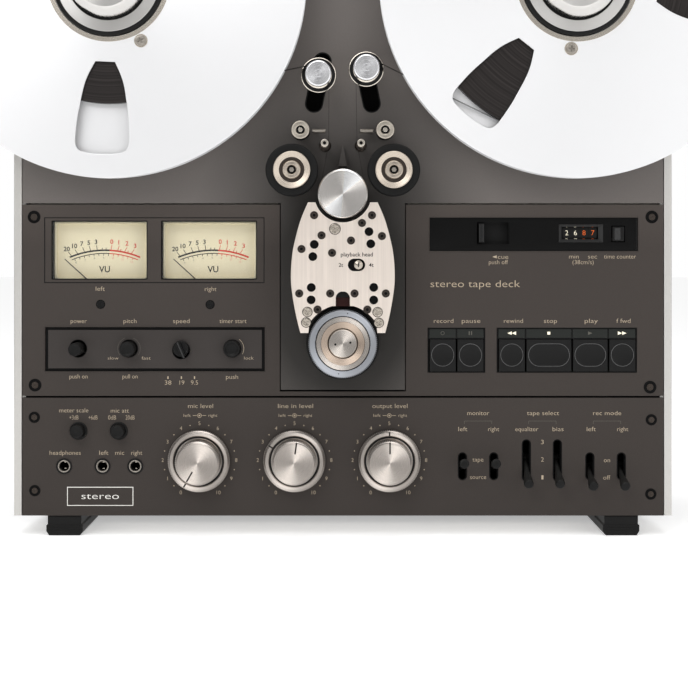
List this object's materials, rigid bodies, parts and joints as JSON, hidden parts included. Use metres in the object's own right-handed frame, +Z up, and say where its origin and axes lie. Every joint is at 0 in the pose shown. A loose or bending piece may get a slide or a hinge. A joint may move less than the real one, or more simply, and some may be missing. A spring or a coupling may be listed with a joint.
{
  "type": "reel to reel tape deck",
  "caption": "Upright open-reel tape deck with two large metal reels, a closed-loop tape path round a central capstan, meters, transport keys and level knobs.",
  "frame": {"origin": "under the middle of the object, on the surface that it stands on", "axes": "+Z up, +X to the right seen from the front, the front panel faces -Y"},
  "size_m": [0.5828, 0.258, 0.5131],
  "materials": {
    "cast_frame": "satin silver die casting",
    "black_steel": "matte black paint on sheet steel",
    "foot_plastic": "matte black moulding",
    "zinc_steel": "zinc plated sheet",
    "deck_paint": "fine matte warm grey paint",
    "panel_paint": "fine matte dark grey paint",
    "head_cover": "brushed up and down, warm silver",
    "meter_plastic": "matte black with cream dials",
    "jack_plastic": "black with nickel sockets",
    "polished_steel": "polished, with a turned face",
    "roller_aluminium": "turned satin",
    "small_metal": "turned satin",
    "needle_black": "matte black",
    "control_plastic": "black",
    "counter_black": "black with light digits",
    "reel_aluminium": "satin white anodised",
    "magnetic_tape": "dark wound tape edges",
    "hub_aluminium": "satin with a dark rim",
    "roller_rubber": "ground black rubber on a nickel hub",
    "key_plastic": "semi gloss dark grey",
    "control_metal": "satin black",
    "knob_outer": "bright spun face with a knurled rim",
    "knob_inner": "bright spun face",
    "lever_metal": "satin black"
  },
  "bodies": {
    "deck": {"chassis_frame": "cast_frame", "rear_cover": "black_steel", "foot_left": "foot_plastic", "foot_right": "foot_plastic", "motor_plate": "zinc_steel", "deck_plate": "deck_paint", "transport_base": "cast_frame", "head_cover": "head_cover", "control_panel": "panel_paint", "meter_case": "meter_plastic", "lower_panel": "panel_paint", "jack_board": "jack_plastic"},
    "supply_reel_set": {"supply_reel": "reel_aluminium", "supply_tape": "magnetic_tape", "supply_turntable": "hub_aluminium"},
    "supply_tension_arm": {"supply_tension_arm": "zinc_steel"},
    "supply_tension_roller": {"supply_tension_roller": "roller_aluminium"},
    "supply_guide_roller": {"supply_guide_roller": "small_metal"},
    "supply_pinch_arm": {"supply_pinch_arm": "zinc_steel"},
    "supply_pinch_roller": {"supply_pinch_roller": "roller_rubber"},
    "takeup_reel_set": {"takeup_reel": "reel_aluminium", "takeup_tape": "magnetic_tape", "takeup_turntable": "hub_aluminium"},
    "takeup_tension_arm": {"takeup_tension_arm": "zinc_steel"},
    "takeup_tension_roller": {"takeup_tension_roller": "roller_aluminium"},
    "takeup_guide_roller": {"takeup_guide_roller": "small_metal"},
    "takeup_pinch_arm": {"takeup_pinch_arm": "zinc_steel"},
    "takeup_pinch_roller": {"takeup_pinch_roller": "roller_rubber"},
    "capstan": {"capstan": "polished_steel"},
    "reversing_roller": {"reversing_roller": "roller_aluminium"},
    "head_selector": {"head_selector": "small_metal"},
    "left_meter_needle": {"left_meter_needle": "needle_black"},
    "right_meter_needle": {"right_meter_needle": "needle_black"},
    "cue_lever": {"cue_lever": "control_plastic"},
    "reset_button": {"reset_button": "control_plastic"},
    "counter_drum": {"counter_drum": "counter_black"},
    "record_key": {"record_key": "key_plastic"},
    "pause_key": {"pause_key": "key_plastic"},
    "rewind_key": {"rewind_key": "key_plastic"},
    "stop_key": {"stop_key": "key_plastic"},
    "play_key": {"play_key": "key_plastic"},
    "fast_forward_key": {"fast_forward_key": "key_plastic"},
    "power_button": {"power_button": "control_metal"},
    "pitch_knob": {"pitch_knob": "control_metal"},
    "speed_selector": {"speed_selector": "control_metal"},
    "timer_knob": {"timer_knob": "control_metal"},
    "meter_scale_button": {"meter_scale_button": "control_metal"},
    "mic_attenuator_button": {"mic_attenuator_button": "control_metal"},
    "mic_outer_knob": {"mic_outer_knob": "knob_outer"},
    "mic_inner_knob": {"mic_inner_knob": "knob_inner"},
    "line_outer_knob": {"line_outer_knob": "knob_outer"},
    "line_inner_knob": {"line_inner_knob": "knob_inner"},
    "output_outer_knob": {"output_outer_knob": "knob_outer"},
    "output_inner_knob": {"output_inner_knob": "knob_inner"},
    "monitor_left_lever": {"monitor_left_lever": "lever_metal"},
    "monitor_right_lever": {"monitor_right_lever": "lever_metal"},
    "equalizer_lever": {"equalizer_lever": "lever_metal"},
    "bias_lever": {"bias_lever": "lever_metal"},
    "record_left_lever": {"record_left_lever": "lever_metal"},
    "record_right_lever": {"record_right_lever": "lever_metal"}
  },
  "joints": [
    {"name": "supply_reel_spin", "type": "hinge", "parent": "deck", "child": "supply_reel_set", "pos_m": [-0.158, -0.112, 0.38], "axis": [0, -1, 0], "continuous": true},
    {"name": "supply_tension_swing", "type": "hinge", "parent": "deck", "child": "supply_tension_arm", "pos_m": [-0.08559, -0.0735, 0.3282], "axis": [0, -1, 0], "range_deg": [-14.5, 9.9], "stiffness_Nm_per_rad": 1.5},
    {"name": "supply_tension_roller_spin", "type": "hinge", "parent": "supply_tension_arm", "child": "supply_tension_roller", "pos_m": [-0.0165, -0.107, 0.31695], "axis": [0, -1, 0], "continuous": true},
    {"name": "supply_guide_roller_spin", "type": "hinge", "parent": "deck", "child": "supply_guide_roller", "pos_m": [-0.0286, -0.107, 0.2791], "axis": [0, -1, 0], "continuous": true},
    {"name": "supply_pinch_swing", "type": "hinge", "parent": "deck", "child": "supply_pinch_arm", "pos_m": [-0.01955, -0.0695, 0.28385], "axis": [0, -1, 0], "range_deg": [0, 5.2], "stiffness_Nm_per_rad": 1},
    {"name": "supply_pinch_roller_spin", "type": "hinge", "parent": "supply_pinch_arm", "child": "supply_pinch_roller", "pos_m": [-0.0345, -0.107, 0.2522], "axis": [0, -1, 0], "continuous": true},
    {"name": "takeup_reel_spin", "type": "hinge", "parent": "deck", "child": "takeup_reel_set", "pos_m": [0.158, -0.112, 0.38], "axis": [0, -1, 0], "continuous": true},
    {"name": "takeup_tension_swing", "type": "hinge", "parent": "deck", "child": "takeup_tension_arm", "pos_m": [0.08559, -0.0735, 0.3282], "axis": [0, -1, 0], "range_deg": [-6.6, 17.9], "stiffness_Nm_per_rad": 1.5},
    {"name": "takeup_tension_roller_spin", "type": "hinge", "parent": "takeup_tension_arm", "child": "takeup_tension_roller", "pos_m": [0.01596, -0.107, 0.32102], "axis": [0, -1, 0], "continuous": true},
    {"name": "takeup_guide_roller_spin", "type": "hinge", "parent": "deck", "child": "takeup_guide_roller", "pos_m": [0.0286, -0.107, 0.2791], "axis": [0, -1, 0], "continuous": true},
    {"name": "takeup_pinch_swing", "type": "hinge", "parent": "deck", "child": "takeup_pinch_arm", "pos_m": [0.01955, -0.0695, 0.28385], "axis": [0, -1, 0], "range_deg": [-5.2, 0], "stiffness_Nm_per_rad": 1},
    {"name": "takeup_pinch_roller_spin", "type": "hinge", "parent": "takeup_pinch_arm", "child": "takeup_pinch_roller", "pos_m": [0.0345, -0.107, 0.2522], "axis": [0, -1, 0], "continuous": true},
    {"name": "capstan_spin", "type": "hinge", "parent": "deck", "child": "capstan", "pos_m": [0, -0.107, 0.2359], "axis": [0, -1, 0], "continuous": true},
    {"name": "reversing_spin", "type": "hinge", "parent": "deck", "child": "reversing_roller", "pos_m": [0, -0.107, 0.1349], "axis": [0, -1, 0], "continuous": true},
    {"name": "head_selector_slide", "type": "slide", "parent": "deck", "child": "head_selector", "axis": [1, 0, 0], "range_m": [-0.0026, 0]},
    {"name": "left_needle_swing", "type": "hinge", "parent": "deck", "child": "left_meter_needle", "pos_m": [-0.1687, -0.0705, 0.1688], "axis": [0, -1, 0], "range_deg": [-95, 0], "stiffness_Nm_per_rad": 0.002},
    {"name": "right_needle_swing", "type": "hinge", "parent": "deck", "child": "right_meter_needle", "pos_m": [-0.0928, -0.0705, 0.1688], "axis": [0, -1, 0], "range_deg": [-95, 0], "stiffness_Nm_per_rad": 0.002},
    {"name": "cue_slide", "type": "slide", "parent": "deck", "child": "cue_lever", "axis": [1, 0, 0], "range_m": [0, 0.016]},
    {"name": "reset_press", "type": "slide", "parent": "deck", "child": "reset_button", "axis": [0, 1, 0], "range_m": [0, 0.001], "stiffness_N_per_m": 300},
    {"name": "counter_spin", "type": "hinge", "parent": "deck", "child": "counter_drum", "pos_m": [0.1646, -0.0667, 0.2099], "axis": [1, 0, 0], "continuous": true},
    {"name": "record_press", "type": "slide", "parent": "deck", "child": "record_key", "axis": [0, 1, 0], "range_m": [0, 0.0025], "stiffness_N_per_m": 300},
    {"name": "pause_press", "type": "slide", "parent": "deck", "child": "pause_key", "axis": [0, 1, 0], "range_m": [0, 0.0025], "stiffness_N_per_m": 300},
    {"name": "rewind_press", "type": "slide", "parent": "deck", "child": "rewind_key", "axis": [0, 1, 0], "range_m": [0, 0.0025], "stiffness_N_per_m": 300},
    {"name": "stop_press", "type": "slide", "parent": "deck", "child": "stop_key", "axis": [0, 1, 0], "range_m": [0, 0.0025], "stiffness_N_per_m": 300},
    {"name": "play_press", "type": "slide", "parent": "deck", "child": "play_key", "axis": [0, 1, 0], "range_m": [0, 0.0025], "stiffness_N_per_m": 300},
    {"name": "fast_forward_press", "type": "slide", "parent": "deck", "child": "fast_forward_key", "axis": [0, 1, 0], "range_m": [0, 0.0025], "stiffness_N_per_m": 300},
    {"name": "power_press", "type": "slide", "parent": "deck", "child": "power_button", "axis": [0, 1, 0], "range_m": [0, 0.004], "stiffness_N_per_m": 300},
    {"name": "pitch_turn", "type": "hinge", "parent": "deck", "child": "pitch_knob", "pos_m": [-0.1483, -0.079, 0.1298], "axis": [0, -1, 0], "range_deg": [-140, 140]},
    {"name": "speed_turn", "type": "hinge", "parent": "deck", "child": "speed_selector", "pos_m": [-0.1121, -0.079, 0.1298], "axis": [0, -1, 0], "range_deg": [-49, 0]},
    {"name": "timer_turn", "type": "hinge", "parent": "deck", "child": "timer_knob", "pos_m": [-0.0767, -0.079, 0.1298], "axis": [0, -1, 0], "range_deg": [-60, 0]},
    {"name": "meter_scale_press", "type": "slide", "parent": "deck", "child": "meter_scale_button", "axis": [0, 1, 0], "range_m": [0, 0.003], "stiffness_N_per_m": 300},
    {"name": "mic_attenuator_press", "type": "slide", "parent": "deck", "child": "mic_attenuator_button", "axis": [0, 1, 0], "range_m": [0, 0.003], "stiffness_N_per_m": 300},
    {"name": "mic_outer_turn", "type": "hinge", "parent": "deck", "child": "mic_outer_knob", "pos_m": [-0.0994, -0.083, 0.0524], "axis": [0, -1, 0], "range_deg": [-300, 0]},
    {"name": "mic_inner_turn", "type": "hinge", "parent": "deck", "child": "mic_inner_knob", "pos_m": [-0.0994, -0.083, 0.0524], "axis": [0, -1, 0], "range_deg": [-300, 0]},
    {"name": "line_outer_turn", "type": "hinge", "parent": "deck", "child": "line_outer_knob", "pos_m": [-0.0335, -0.083, 0.0524], "axis": [0, -1, 0], "range_deg": [-210, 90]},
    {"name": "line_inner_turn", "type": "hinge", "parent": "deck", "child": "line_inner_knob", "pos_m": [-0.0335, -0.083, 0.0524], "axis": [0, -1, 0], "range_deg": [-141, 159]},
    {"name": "output_outer_turn", "type": "hinge", "parent": "deck", "child": "output_outer_knob", "pos_m": [0.0322, -0.083, 0.0524], "axis": [0, -1, 0], "range_deg": [-150, 150]},
    {"name": "output_inner_turn", "type": "hinge", "parent": "deck", "child": "output_inner_knob", "pos_m": [0.0322, -0.083, 0.0524], "axis": [0, -1, 0], "range_deg": [-150, 150]},
    {"name": "monitor_left_lever_swing", "type": "hinge", "parent": "deck", "child": "monitor_left_lever", "pos_m": [0.0829, -0.065, 0.047], "axis": [1, 0, 0], "range_deg": [0, 27]},
    {"name": "monitor_right_lever_swing", "type": "hinge", "parent": "deck", "child": "monitor_right_lever", "pos_m": [0.1046, -0.065, 0.047], "axis": [1, 0, 0], "range_deg": [0, 27]},
    {"name": "equalizer_lever_swing", "type": "hinge", "parent": "deck", "child": "equalizer_lever", "pos_m": [0.1272, -0.065, 0.0523], "axis": [-1, 0, 0], "range_deg": [0, 51]},
    {"name": "bias_lever_swing", "type": "hinge", "parent": "deck", "child": "bias_lever", "pos_m": [0.1487, -0.065, 0.0523], "axis": [-1, 0, 0], "range_deg": [0, 51]},
    {"name": "record_left_lever_swing", "type": "hinge", "parent": "deck", "child": "record_left_lever", "pos_m": [0.1712, -0.065, 0.047], "axis": [-1, 0, 0], "range_deg": [0, 27]},
    {"name": "record_right_lever_swing", "type": "hinge", "parent": "deck", "child": "record_right_lever", "pos_m": [0.193, -0.065, 0.047], "axis": [-1, 0, 0], "range_deg": [0, 27]}
  ],
  "couplings": [
    {"joint": "takeup_pinch_swing", "follows": "supply_pinch_swing", "ratio": -1}
  ]
}
